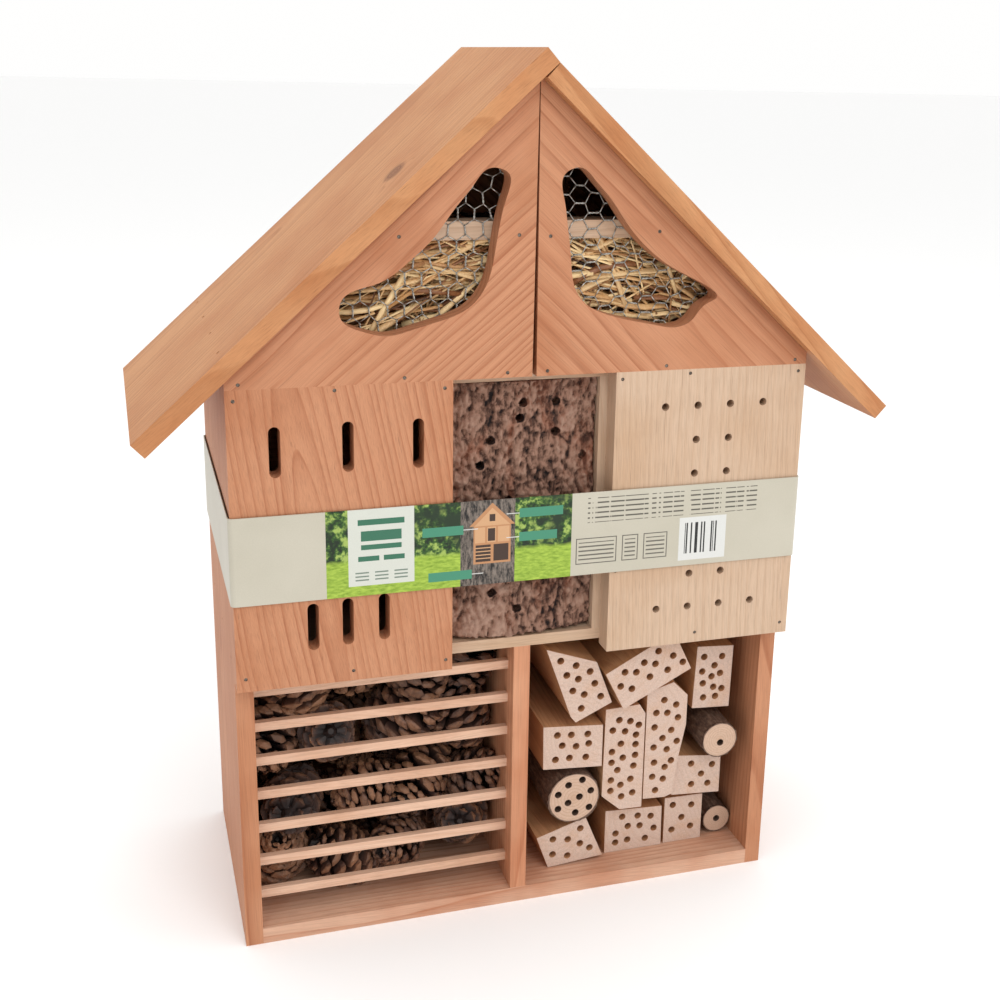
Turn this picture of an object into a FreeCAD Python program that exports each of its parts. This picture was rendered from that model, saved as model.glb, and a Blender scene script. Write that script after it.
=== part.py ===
import FreeCAD, Part
import math
import os
import random

# Insect hotel: a nailed softwood house on a flat base, filled with nesting material.
# Frame: origin at the bottom centre of the box body, +X to the right, +Y to the back,
# +Z up. Millimetres.

V = FreeCAD.Vector

# ---- driving dimensions -------------------------------------------------------------
BODY_W = 400.0            # over the side boards
BODY_D = 190.0            # front edge to back edge of the side boards
BOARD_T = 12.0            # side, bottom, ceiling and roof boards
BACK_T = 10.0             # back planks
PANEL_T = 16.0            # front panels and gables
SHELF_Z = 208.0           # underside of the middle shelf
SHELF_T = 8.0
PANEL_Z0 = 204.0          # lower edge of the front panels
GABLE_Z0 = 408.0          # seam between the front panels and the gables
CEILING_Z = 402.0         # underside of the ceiling board
ROOF_PITCH = 42.5         # degrees
ROOF_Z = 599.5            # where the two roof undersides meet
ROOF_FRONT = 28.0         # roof edge in front of the side boards
ROOF_LEN_LEFT = 350.0
ROOF_LEN_RIGHT = 341.0
BUTTERFLY_X1 = -55.0      # right edge of the panel with slots
DRILLED_X0 = 58.0         # left edge of the panel with round holes
BAY_X0 = -55.0            # bark bay, between its two dividers
BAY_X1 = 52.0
HOLE_D = 5.5              # nesting holes
HOLE_DEPTH = 60.0
SLOT_W = 7.5              # butterfly slots
SLAT_H = 6.5
SLAT_D = 5.0
SLAT_RECESS = 14.0
SLAT_Z0 = 28.0
SLAT_PITCH = 26.2
SLAT_COUNT = 7
SLEEVE_Z0 = 265.0
SLEEVE_H = 60.0
SLEEVE_T = 0.6
SLEEVE_GAP = 0.4          # all round, so that the ring slides
SLEEVE_R = 2.0            # fold radius at its four corners
NAIL_D = 2.4
NAIL_LEN = 34.0
NAIL_SINK = 0.4           # heads are driven just below the surface
NAIL_FIT = 0.05           # the driven hole's radius over the nail's
GAP = 0.3                 # between loose pieces and the boards round them

# ---- worked out from them -----------------------------------------------------------
X = BODY_W / 2
FRONT = -BODY_D / 2
BACK = BODY_D / 2
FACE = FRONT - PANEL_T
INNER = X - BOARD_T
REAR_WALL = BACK - BACK_T
SHELF_TOP = SHELF_Z + SHELF_T
CEILING_TOP = CEILING_Z + BOARD_T
SLOPE = math.radians(ROOF_PITCH)
TAN, SIN, COS = math.tan(SLOPE), math.sin(SLOPE), math.cos(SLOPE)
ROOF_FIT = 0.2            # hairline under the roof boards

nodes = {}


def box(x0, x1, y0, y1, z0, z1):
    return Part.makeBox(x1 - x0, y1 - y0, z1 - z0, V(x0, y0, z0))


def prism(outline, y0, y1):
    """Extrude a closed outline of (x, z) points from y0 to y1."""
    points = [V(x, y0, z) for x, z in outline]
    wire = Part.makePolygon(points + [points[0]])
    return Part.Face(wire).extrude(V(0, y1 - y0, 0))


def smooth_prism(outline, y0, y1):
    """The same, with a smooth closed curve through the points."""
    curve = Part.BSplineCurve()
    curve.interpolate(Points=[V(x, y0, z) for x, z in outline], PeriodicFlag=True)
    return Part.Face(Part.Wire(curve.toShape())).extrude(V(0, y1 - y0, 0))


def drill(x, z, y0, depth, diameter=HOLE_D):
    return Part.makeCylinder(diameter / 2, depth, V(x, y0, z), V(0, 1, 0))


def roof_under(x):
    return ROOF_Z - TAN * abs(x) - ROOF_FIT


# ---- the box body -------------------------------------------------------------------
def side_board(sign):
    outline = [(sign * X, 0), (sign * INNER, 0),
               (sign * INNER, roof_under(INNER)), (sign * X, roof_under(X))]
    return prism(outline, FRONT, BACK)


nodes["side_board_left"] = side_board(-1)
nodes["side_board_right"] = side_board(1)
nodes["bottom_board"] = box(-INNER, INNER, FRONT, REAR_WALL, 0, BOARD_T)
nodes["shelf_board"] = box(-INNER, INNER, FRONT, REAR_WALL, SHELF_Z, SHELF_TOP)
nodes["ceiling_board"] = box(-INNER, INNER, FRONT, REAR_WALL, CEILING_Z, CEILING_TOP)
nodes["lower_divider"] = box(-BOARD_T / 2, BOARD_T / 2, FRONT, REAR_WALL, BOARD_T, SHELF_Z)
nodes["bay_divider_left"] = box(BAY_X0 - BOARD_T, BAY_X0, FRONT, REAR_WALL, SHELF_TOP, CEILING_Z)
nodes["bay_divider_right"] = box(BAY_X1, BAY_X1 + BOARD_T, FRONT, REAR_WALL, SHELF_TOP, CEILING_Z)

# Back planks, laid across between the side boards, and two boards in the gable.
PLANK_COUNT = 5
PLANK_GAP = 0.6
PLANK_H = CEILING_TOP / PLANK_COUNT
for k in range(PLANK_COUNT):
    top = (k + 1) * PLANK_H - PLANK_GAP
    nodes["back_plank_%d" % (k + 1)] = box(-INNER, INNER, REAR_WALL, BACK, k * PLANK_H, top)


def back_gable(sign):
    low = CEILING_TOP
    outline = [(sign * INNER, low), (sign * PLANK_GAP / 2, low),
               (sign * PLANK_GAP / 2, roof_under(PLANK_GAP / 2)), (sign * INNER, roof_under(INNER))]
    return prism(outline, REAR_WALL, BACK)


nodes["back_gable_left"] = back_gable(-1)
nodes["back_gable_right"] = back_gable(1)

# ---- front panels -------------------------------------------------------------------
SLOTS_UPPER = [(-170.5, 366.5), (-124.0, 367.5), (-78.0, 367.0)]
SLOTS_LOWER = [(-149.0, 245.5), (-126.0, 247.0), (-101.7, 248.0)]
SLOT_LEN = {"upper": 33.5, "lower": 33.0}


def slot(x, z, length):
    """An upright slot with round ends, right through the panel."""
    depth = PANEL_T + 2
    straight = length - SLOT_W
    middle = box(x - SLOT_W / 2, x + SLOT_W / 2, FACE - 1, FRONT + 1,
                 z - straight / 2, z + straight / 2)
    ends = [drill(x, z + s * straight / 2, FACE - 1, depth, SLOT_W) for s in (-1, 1)]
    return middle.fuse(ends)


def butterfly_panel():
    panel = box(-X, BUTTERFLY_X1, FACE, FRONT, PANEL_Z0, GABLE_Z0)
    cuts = [slot(x, z, SLOT_LEN["upper"]) for x, z in SLOTS_UPPER]
    cuts += [slot(x, z, SLOT_LEN["lower"]) for x, z in SLOTS_LOWER]
    return panel.cut(cuts)


# Seven rows of holes: four, then pairs, then four.
HOLE_COLUMNS = [94.8, 119.0, 143.5, 168.5]
HOLE_ROWS = [382.0, 357.5, 333.0, 308.0, 283.0, 258.0, 232.7]


def drilled_panel():
    panel = box(DRILLED_X0, X, FACE, FRONT, PANEL_Z0, GABLE_Z0)
    cuts = []
    for row, z in enumerate(HOLE_ROWS):
        outer_row = row in (0, len(HOLE_ROWS) - 1)
        for column in HOLE_COLUMNS if outer_row else HOLE_COLUMNS[1:3]:
            cuts.append(drill(column, z, FACE - 1, PANEL_T + 2))
    return panel.cut(cuts)


nodes["butterfly_panel"] = butterfly_panel()
nodes["drilled_panel"] = drilled_panel()

# ---- gables -------------------------------------------------------------------------
SEAM_TOP = 0.5            # the seam between the gables opens towards its foot
SEAM_FOOT = 3.0
WINDOW_LEFT = [(-26, 543), (-18.5, 538), (-21, 524), (-25, 508), (-28, 490), (-34, 468),
               (-45, 455), (-62, 447.5), (-80, 442.5), (-98, 438.5), (-114, 442), (-127, 450),
               (-127, 461), (-104, 472), (-84, 485), (-67, 501), (-54, 518.5), (-42, 533)]
WINDOW_RIGHT = [(24, 543), (16.5, 537), (18, 522), (20.5, 506), (23, 488), (27, 465),
                (36, 454), (50, 447.5), (67, 443), (84, 439.5), (100, 437.5), (112, 443),
                (119, 451.5), (128, 456.5), (109, 471), (90, 481), (74.5, 493), (61, 508),
                (50, 523), (38, 536)]


def gable(sign, window):
    outline = [(sign * X, GABLE_Z0), (sign * SEAM_FOOT / 2, GABLE_Z0),
               (sign * SEAM_TOP / 2, roof_under(SEAM_TOP / 2)), (sign * X, roof_under(X))]
    return prism(outline, FACE, FRONT).cut(smooth_prism(window, FACE - 1, FRONT + 1))


nodes["gable_left"] = gable(-1, WINDOW_LEFT)
nodes["gable_right"] = gable(1, WINDOW_RIGHT)

BATTEN_Z0 = 496.0
BATTEN_H = 12.0
BATTEN_HALF = 96.0
BATTEN_D = 20.0
MESH_T = 0.8
MESH_Y0 = FRONT + 1.0      # the wire stands a little off the gable, on its twists
BATTEN_Y0 = MESH_Y0 + MESH_T
MESH_EDGE = 10.0           # from the seam and from the roof
MESH_Z0 = 428.0
MESH_X1 = 140.0
MESH_TOP = 552.0


def mesh_outline(sign):
    """A piece of mesh cut to the gable's corner, parallel to the roof."""
    drop = MESH_EDGE / COS
    top_x = (ROOF_Z - drop - MESH_TOP) / TAN
    side_z = ROOF_Z - drop - TAN * MESH_X1
    return [(sign * 10, MESH_Z0), (sign * MESH_X1, MESH_Z0), (sign * MESH_X1, side_z),
            (sign * top_x, MESH_TOP), (sign * 10, MESH_TOP)]


STAPLE_W = 9.0
STAPLE_WIRE = 1.0
STAPLE_LEG = 6.0
STAPLES = [(60, 432), (118, 431), (12.5, 470), (12.5, 520), (136, 456), (64, 525)]


def staple(x, z):
    """A crown behind the mesh and two legs through it into the gable."""
    y = MESH_Y0 + MESH_T
    half = STAPLE_WIRE / 2
    crown = box(x - half, x + half, y, y + STAPLE_WIRE, z - STAPLE_W / 2, z + STAPLE_W / 2)
    legs = []
    for end in (z - STAPLE_W / 2, z + STAPLE_W / 2 - STAPLE_WIRE):
        legs.append(box(x - half, x + half, FRONT - STAPLE_LEG, y, end, end + STAPLE_WIRE))
    return crown.fuse(legs).removeSplitter()


nodes["gable_batten"] = box(-BATTEN_HALF, BATTEN_HALF, BATTEN_Y0, BATTEN_Y0 + BATTEN_D,
                            BATTEN_Z0, BATTEN_Z0 + BATTEN_H)
for side, sign in (("left", -1), ("right", 1)):
    staples = [staple(sign * x, z) for x, z in STAPLES]
    sheet = prism(mesh_outline(sign), MESH_Y0, MESH_Y0 + MESH_T)
    nodes["wire_mesh_" + side] = sheet.cut(staples)
    nodes["gable_" + side] = nodes["gable_" + side].cut(staples)
    nodes["mesh_staples_" + side] = Part.makeCompound(staples)

# ---- roof ---------------------------------------------------------------------------
RIDGE_BUTT = 1.0          # the right board stops this far from the meeting line
LEFT_TOP_X = 0.8          # the left board runs up over the right one's end


def roof_board(sign, start, length):
    """A square-ended board; start is where its top face begins, at the ridge."""
    x0, z0 = start
    along = (sign * COS, -SIN)
    down = (-sign * SIN, -COS)
    ends = [(x0 + along[0] * s + down[0] * t, z0 + along[1] * s + down[1] * t)
            for s, t in ((0, 0), (length, 0), (length, BOARD_T), (0, BOARD_T))]
    return prism(ends, FRONT - ROOF_FRONT, BACK)


left_start = (LEFT_TOP_X, ROOF_Z + BOARD_T / COS + TAN * LEFT_TOP_X)
right_start = (RIDGE_BUTT + BOARD_T * SIN, ROOF_Z - TAN * RIDGE_BUTT + BOARD_T * COS)
nodes["roof_left"] = roof_board(-1, left_start, ROOF_LEN_LEFT)
nodes["roof_right"] = roof_board(1, right_start, ROOF_LEN_RIGHT)

# ---- slats of the cone bay ----------------------------------------------------------
SLAT_X0 = -INNER
SLAT_X1 = -BOARD_T / 2
for k in range(SLAT_COUNT):
    z = SLAT_Z0 + k * SLAT_PITCH
    y = FRONT + SLAT_RECESS
    nodes["slat_%d" % (k + 1)] = box(SLAT_X0, SLAT_X1, y, y + SLAT_D, z, z + SLAT_H)

# ---- pine cones: loose, egg-shaped, in two layers -----------------------------------
CONE_COLUMNS = 4
CONE_ROWS = 4
CONE_LAYERS = {"front": (-44.0, 29.0), "rear": (20.0, 31.0)}     # middle and half length in Y
CONE_JITTER = 1.0


def egg(x, y, z, rx, ry, rz):
    ball = Part.makeSphere(1.0)
    stretch = FreeCAD.Matrix()
    stretch.scale(V(rx, ry, rz))
    stretch.move(V(x, y, z))
    return ball.transformGeometry(stretch)


def cone_layer(y, ry, seed):
    draw = random.Random(seed)
    cell_w = (SLAT_X1 - SLAT_X0) / CONE_COLUMNS
    cell_h = (SHELF_Z - BOARD_T) / CONE_ROWS
    rx = cell_w / 2 - CONE_JITTER - GAP
    rz = cell_h / 2 - CONE_JITTER - GAP
    eggs = []
    for row in range(CONE_ROWS):
        for column in range(CONE_COLUMNS):
            x = SLAT_X0 + (column + 0.5) * cell_w + draw.uniform(-CONE_JITTER, CONE_JITTER)
            z = BOARD_T + (row + 0.5) * cell_h + draw.uniform(-CONE_JITTER, CONE_JITTER)
            eggs.append(egg(x, y, z, rx, ry, rz))
    return Part.makeCompound(eggs)


for seed, (layer, (y, ry)) in enumerate(CONE_LAYERS.items()):
    nodes["pine_cones_" + layer] = cone_layer(y, ry, seed)

# ---- drilled blocks and branch rounds -----------------------------------------------
# Each block: how far its front stands back from the frame's, its outline, its holes.
BLOCK_LEN = 140.0
FLOOR = BOARD_T + GAP
BLOCKS = {
    "a": (8, [(21, 199), (60, 185), (73, 151), (45, 138), (41, 143)],
          [(32, 189), (44, 184), (55, 178), (37, 177), (46, 173), (59, 168), (42, 164),
           (51, 160), (64, 157), (49, 149)]),
    "b": (4, [(66, 176), (119, 204), (134, 173), (81, 146)],
          [(107, 190), (119, 185), (127, 179), (96, 182), (105, 180), (115, 174), (81, 176),
           (90, 175), (101, 170), (78, 165), (87, 162)]),
    "c": (18, [(145, 183), (175, 181), (174, 130), (143, 132)],
          [(151, 174), (166, 173), (160, 166), (150, 162), (158, 157), (165, 159),
           (151, 152), (160, 148), (167, 146), (152, 140), (162, 140)]),
    "d": (14, [(22, 134), (69, 130), (69, 95.5), (22.5, 99)],
          [(33, 126), (44, 125), (57, 124), (37, 117), (48, 115), (58, 116), (32, 106),
           (43, 106), (56, 105)]),
    "e": (14, [(71, 142), (98, 143), (103, 135), (103, 55.5), (85, 56), (70, 69.5)],
          [(82, 132), (91, 130), (98, 126), (77, 124), (87, 122), (96, 118), (84, 112),
           (96, 110), (77, 106), (96, 101), (86, 100), (77, 97), (95, 92), (82, 90),
           (77, 82), (93, 81), (85, 77), (77, 73), (95, 69), (86, 67)]),
    "f": (14, [(104, 152), (125, 158), (137, 146), (137, 121), (132, 95), (128, 63),
               (122, 61), (104, 62)],
          [(118, 144), (128, 139), (112, 134), (121, 133), (130, 128), (111, 122),
           (125, 118), (118, 112), (130, 108), (111, 105), (122, 102), (126, 92),
           (112, 92), (121, 87), (111, 80), (120, 77), (114, 68)]),
    "g": (20, [(134.5, 91.5), (171, 87), (171, 55), (130.5, 58)],
          [(146, 83), (164, 80), (155, 73), (147, 65), (161, 64)]),
    "h": (26, [(128, 52), (160, 51.5), (160, FLOOR), (128, FLOOR)],
          [(135, 45), (151, 43), (143, 33), (135, 23), (151, 24)]),
    "i": (25, [(78, 49), (125, 46.5), (125.5, FLOOR), (78, FLOOR)],
          [(92, 42), (105, 41), (116, 39), (97, 33), (107, 32), (119, 28), (87, 28),
           (87, 20), (97, 21), (112, 20)]),
    "j": (18, [(20, 39), (59, 51), (73.5, 16), (29.5, FLOOR)],
          [(55, 42), (33, 36), (45, 34), (55, 29), (63, 24), (33, 23), (45, 20)]),
}
for name, (recess, outline, holes) in BLOCKS.items():
    y = FRONT + recess
    cuts = [drill(x, z, y - 1, HOLE_DEPTH + 1) for x, z in holes]
    nodes["block_" + name] = prism(outline, y, y + BLOCK_LEN).cut(cuts)

# Each branch round: recess, middle (x, z), radius, holes.
ROUNDS = {
    "log_large": (14, (47.6, 71.7), 21.3,
                  [(54, 86), (43, 83), (61, 76), (35, 76), (52, 72), (43, 68), (60, 62),
                   (35, 64), (49, 59)]),
    "log_middle": (8, (163.5, 107.3), 15.0, [(164, 105)]),
    "log_small": (30, (175.4, FLOOR + 12.1), 12.0, [(175.5, 24.5)]),
}
for name, (recess, (x, z), radius, holes) in ROUNDS.items():
    y = FRONT + recess
    cuts = [drill(hx, hz, y - 1, HOLE_DEPTH + 1) for hx, hz in holes]
    nodes[name] = Part.makeCylinder(radius, BLOCK_LEN, V(x, y, z), V(0, 1, 0)).cut(cuts)

# ---- bark slab ----------------------------------------------------------------------
BARK_CROWN = FRONT - 4.0
BARK_EDGE = FRONT + 4.0
BARK_BACK = FRONT + 22.0
BARK_HOLE_D = 6.0
BARK_HOLE_DEPTH = 18.0
BARK_HOLES = [(-25, 361), (-32, 344), (21, 386), (21, 365), (42, 346), (-3, 387), (-5, 376),
              (-12, 318), (18, 300), (-23, 251), (-5, 238), (28, 262)]


def bark_slab():
    """A piece of outer bark: rounded in front, cut flat behind."""
    x0, x1 = BAY_X0 + GAP, BAY_X1 - GAP
    z0, z1 = SHELF_TOP + GAP, CEILING_Z - 0.5
    crown = Part.Arc(V(x0, BARK_EDGE, z0), V((x0 + x1) / 2, BARK_CROWN, z0), V(x1, BARK_EDGE, z0))
    back = Part.makePolygon([V(x1, BARK_EDGE, z0), V(x1, BARK_BACK, z0),
                             V(x0, BARK_BACK, z0), V(x0, BARK_EDGE, z0)])
    face = Part.Face(Part.Wire([crown.toShape()] + back.Edges))
    slab = face.extrude(V(0, 0, z1 - z0))
    depth = BARK_HOLE_DEPTH + 2
    return slab.cut([drill(x, z, BARK_CROWN - 1, depth, BARK_HOLE_D) for x, z in BARK_HOLES])


nodes["bark_slab"] = bark_slab()

# ---- straw behind the windows -------------------------------------------------------
STRAW_TOP = BATTEN_Z0 - 3.0
STRAW_Z0 = CEILING_TOP + GAP
STRAW_Y0 = MESH_Y0 + MESH_T + STAPLE_WIRE + GAP
STRAW_Y1 = 45.0
STRAW_CLEAR = 40.0        # beside the roof, so that the roof nails miss it


def straw_half(z):
    return (ROOF_Z - z) / TAN - STRAW_CLEAR


nodes["straw_fill"] = prism([(-straw_half(STRAW_Z0), STRAW_Z0), (straw_half(STRAW_Z0), STRAW_Z0),
                             (straw_half(STRAW_TOP), STRAW_TOP), (-straw_half(STRAW_TOP), STRAW_TOP)],
                            STRAW_Y0, STRAW_Y1)

# ---- nails --------------------------------------------------------------------------
# Front nails, by the board they hold: (x, z) of each head.
FRONT_NAILS = {
    "nails_butterfly_panel": [(-195, 401), (-132, 405), (-60.5, 403), (-194, 213), (-59.5, 211.5),
                              (-123, 211)],
    "nails_drilled_panel": [(62.5, 403), (112, 405), (194.5, 403), (62.5, 265), (126, 211.5),
                            (194.5, 212)],
    "nails_gable_left": [(-90, 501), (-12, 501), (-191.5, 411.3), (-87, 411), (-18.4, 411.3)],
    "nails_gable_right": [(9, 500), (84.6, 502), (191.3, 411.3), (94, 411), (9, 411.3)],
}
SIDE_NAIL_Y = [-70.0, 0.0, 70.0]
SIDE_NAIL_Z = [BOARD_T / 2, SHELF_Z + SHELF_T / 2, CEILING_Z + BOARD_T / 2]
BACK_NAIL_X = [-X + BOARD_T + 14, 0.0, X - BOARD_T - 14]
ROOF_NAIL_Y = [FRONT - PANEL_T / 2, -40.0, 20.0, 80.0]


def nail(head, along, length=NAIL_LEN, radius=NAIL_D / 2):
    start = head + along * NAIL_SINK
    return Part.makeCylinder(radius, length, start, along)


nail_sets = {}
for name, heads in FRONT_NAILS.items():
    nail_sets[name] = [(V(x, FACE, z), V(0, 1, 0)) for x, z in heads]
for side, sign in (("left", -1), ("right", 1)):
    across = V(-sign, 0, 0)
    places = [V(sign * X, y, z) for y in SIDE_NAIL_Y for z in SIDE_NAIL_Z]
    nail_sets["nails_side_" + side] = [(place, across) for place in places]
    # Roof nails stand square to the roof, over the side board's top.
    x = sign * (X - BOARD_T / 2)
    square = V(sign * SIN, 0, COS)
    foot = V(x, 0, ROOF_Z - TAN * abs(x))
    top = foot + square * BOARD_T
    nail_sets["nails_roof_" + side] = [(V(top.x, y, top.z), square * -1) for y in ROOF_NAIL_Y]

NAILED = [name for name in nodes if not name.startswith(("mesh", "straw", "pine"))]
for name, places in nail_sets.items():
    nails = [nail(head, along) for head, along in places]
    nodes[name] = Part.makeCompound(nails)
    for (head, along), solid in zip(places, nails):
        hole = nail(head - along * (2 * NAIL_SINK), along, NAIL_LEN + NAIL_SINK * 2 + NAIL_FIT,
                    NAIL_D / 2 + NAIL_FIT)
        for board in NAILED:
            if nodes[board].BoundBox.intersect(hole.BoundBox):
                if nodes[board].distToShape(hole)[0] < NAIL_FIT:
                    nodes[board] = nodes[board].cut(hole)

# ---- printed card sleeve, a closed ring round the body ------------------------------
def ring(grow):
    """A rounded rectangle round the body, grow outside its faces."""
    radius = SLEEVE_R + grow
    block = box(-X - grow, X + grow, FACE - grow, BACK + grow, SLEEVE_Z0, SLEEVE_Z0 + SLEEVE_H)
    uprights = [edge for edge in block.Edges
                if abs(edge.Vertexes[0].Z - edge.Vertexes[-1].Z) > SLEEVE_H / 2]
    return block.makeFillet(radius, uprights)


CORNER = SLEEVE_R * (1 - 1 / math.sqrt(2))    # how far a fold cuts inside a square corner
inner_grow = SLEEVE_GAP + CORNER
nodes["card_sleeve"] = ring(inner_grow + SLEEVE_T).cut(ring(inner_grow))

os.makedirs("parts", exist_ok=True)
for name, shape in nodes.items():
    shape.exportStep("parts/%s.step" % name)
    if not shape.isValid():
        print("invalid", name)
print(len(nodes), "nodes")
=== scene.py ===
import math
import random

import bpy
from mathutils import Euler, Matrix, Vector, noise


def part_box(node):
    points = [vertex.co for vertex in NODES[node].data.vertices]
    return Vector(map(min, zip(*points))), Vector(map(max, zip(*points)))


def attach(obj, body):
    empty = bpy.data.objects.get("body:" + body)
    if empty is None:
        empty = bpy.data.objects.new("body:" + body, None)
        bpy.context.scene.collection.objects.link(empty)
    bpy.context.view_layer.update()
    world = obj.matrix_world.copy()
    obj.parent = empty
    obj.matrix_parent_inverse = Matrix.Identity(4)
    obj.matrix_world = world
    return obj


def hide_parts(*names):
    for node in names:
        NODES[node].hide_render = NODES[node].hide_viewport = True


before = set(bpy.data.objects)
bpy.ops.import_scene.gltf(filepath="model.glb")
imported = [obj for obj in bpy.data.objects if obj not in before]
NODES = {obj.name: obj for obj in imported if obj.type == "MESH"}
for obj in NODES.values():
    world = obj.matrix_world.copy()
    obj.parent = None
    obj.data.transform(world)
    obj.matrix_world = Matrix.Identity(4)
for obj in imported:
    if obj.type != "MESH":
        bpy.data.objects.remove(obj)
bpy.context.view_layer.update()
MM = 0.001
HOUSE = "house"
PITCH = math.radians(42.5)


# ---- node trees ---------------------------------------------------------------------
class Tree:
    """A material's node tree, with short calls for the nodes used here."""

    def __init__(self, name):
        self.material = bpy.data.materials.new(name)
        self.material.use_nodes = True
        self.nodes = self.material.node_tree.nodes
        self.nodes.clear()
        self.out = self.nodes.new("ShaderNodeOutputMaterial")
        self.shader = self.nodes.new("ShaderNodeBsdfPrincipled")
        self.link(self.shader.outputs[0], self.out.inputs["Surface"])

    def link(self, a, b):
        self.material.node_tree.links.new(a, b)

    def put(self, value, socket):
        if isinstance(value, bpy.types.NodeSocket):
            self.link(value, socket)
        elif socket.type == "RGBA":
            socket.default_value = (*value[:3], 1)
        else:
            socket.default_value = value

    def coords(self):
        return self.nodes.new("ShaderNodeTexCoord").outputs["Object"]

    def normal(self):
        return self.nodes.new("ShaderNodeNewGeometry").outputs["Normal"]

    def attribute(self, name):
        node = self.nodes.new("ShaderNodeAttribute")
        node.attribute_name = name
        return node.outputs["Fac"]

    def mapping(self, vector, location=(0, 0, 0), rotation=(0, 0, 0), scale=(1, 1, 1)):
        node = self.nodes.new("ShaderNodeMapping")
        self.put(vector, node.inputs["Vector"])
        node.inputs["Location"].default_value = location
        node.inputs["Rotation"].default_value = rotation
        node.inputs["Scale"].default_value = scale
        return node.outputs[0]

    def noise(self, vector, scale, detail=2.0, rough=0.5, distortion=0.0):
        node = self.nodes.new("ShaderNodeTexNoise")
        self.put(vector, node.inputs["Vector"])
        node.inputs["Scale"].default_value = scale
        node.inputs["Detail"].default_value = detail
        node.inputs["Roughness"].default_value = rough
        node.inputs["Distortion"].default_value = distortion
        return node.outputs["Fac"]

    def math(self, operation, a, b=0.0, clamp=False):
        node = self.nodes.new("ShaderNodeMath")
        node.operation = operation
        node.use_clamp = clamp
        self.put(a, node.inputs[0])
        self.put(b, node.inputs[1])
        return node.outputs[0]

    def vector(self, operation, a, b=(0, 0, 0)):
        node = self.nodes.new("ShaderNodeVectorMath")
        node.operation = operation
        self.put(a, node.inputs[0])
        self.put(b, node.inputs[1])
        return node.outputs["Value" if operation == "LENGTH" else "Vector"]

    def split(self, vector):
        node = self.nodes.new("ShaderNodeSeparateXYZ")
        self.put(vector, node.inputs[0])
        return node.outputs

    def ramp(self, value, stops):
        node = self.nodes.new("ShaderNodeValToRGB")
        elements = node.color_ramp.elements
        while len(elements) < len(stops):
            elements.new(0.5)
        for element, (place, colour) in zip(elements, stops):
            element.position = place
            element.color = (*colour, 1) if isinstance(colour, tuple) else (colour,) * 3 + (1,)
        self.put(value, node.inputs[0])
        return node.outputs[0]

    def span(self, value, low, high):
        """value's part of the way from low to high, held between 0 and 1."""
        node = self.nodes.new("ShaderNodeMapRange")
        self.put(value, node.inputs["Value"])
        node.inputs["From Min"].default_value = low
        node.inputs["From Max"].default_value = high
        return node.outputs[0]

    def mix(self, fac, a, b, blend="MIX"):
        node = self.nodes.new("ShaderNodeMix")
        node.data_type = "RGBA"
        node.blend_type = blend
        self.put(fac, node.inputs["Factor"])
        for value, socket in ((a, node.inputs["A"]), (b, node.inputs["B"])):
            self.put(value, [s for s in node.inputs if s.name == socket.name and s.type == "RGBA"][0])
        return [s for s in node.outputs if s.type == "RGBA"][0]

    def finish(self, colour, roughness=0.6, height=None, bump=0.3 * MM, strength=0.6, metallic=0.0,
               specular=0.3):
        self.put(colour, self.shader.inputs["Base Color"])
        self.put(roughness, self.shader.inputs["Roughness"])
        self.shader.inputs["Metallic"].default_value = metallic
        self.shader.inputs["Specular IOR Level"].default_value = specular
        if height is not None:
            node = self.nodes.new("ShaderNodeBump")
            node.inputs["Distance"].default_value = bump
            node.inputs["Strength"].default_value = strength
            self.put(height, node.inputs["Height"])
            self.link(node.outputs[0], self.shader.inputs["Normal"])
        return self.material


def srgb(r, g, b):
    """An sRGB colour of 0 to 255 as linear light."""
    return tuple(c / 255 / 12.92 if c <= 10 else ((c / 255 + 0.055) / 1.055) ** 2.4 for c in (r, g, b))


# ---- wood ---------------------------------------------------------------------------
BOARD_ROUGH = 0.62
ALONG_X = Euler((0, -math.pi / 2, 0))
ALONG_Y = Euler((math.pi / 2, 0, 0))
ALONG_Z = Euler((0, 0, 0))


def along_slope(sign):
    """Turns the roof's slope on that side of the ridge to Z."""
    return Euler((0, -math.atan2(sign * math.cos(PITCH), -math.sin(PITCH)), 0))


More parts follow.
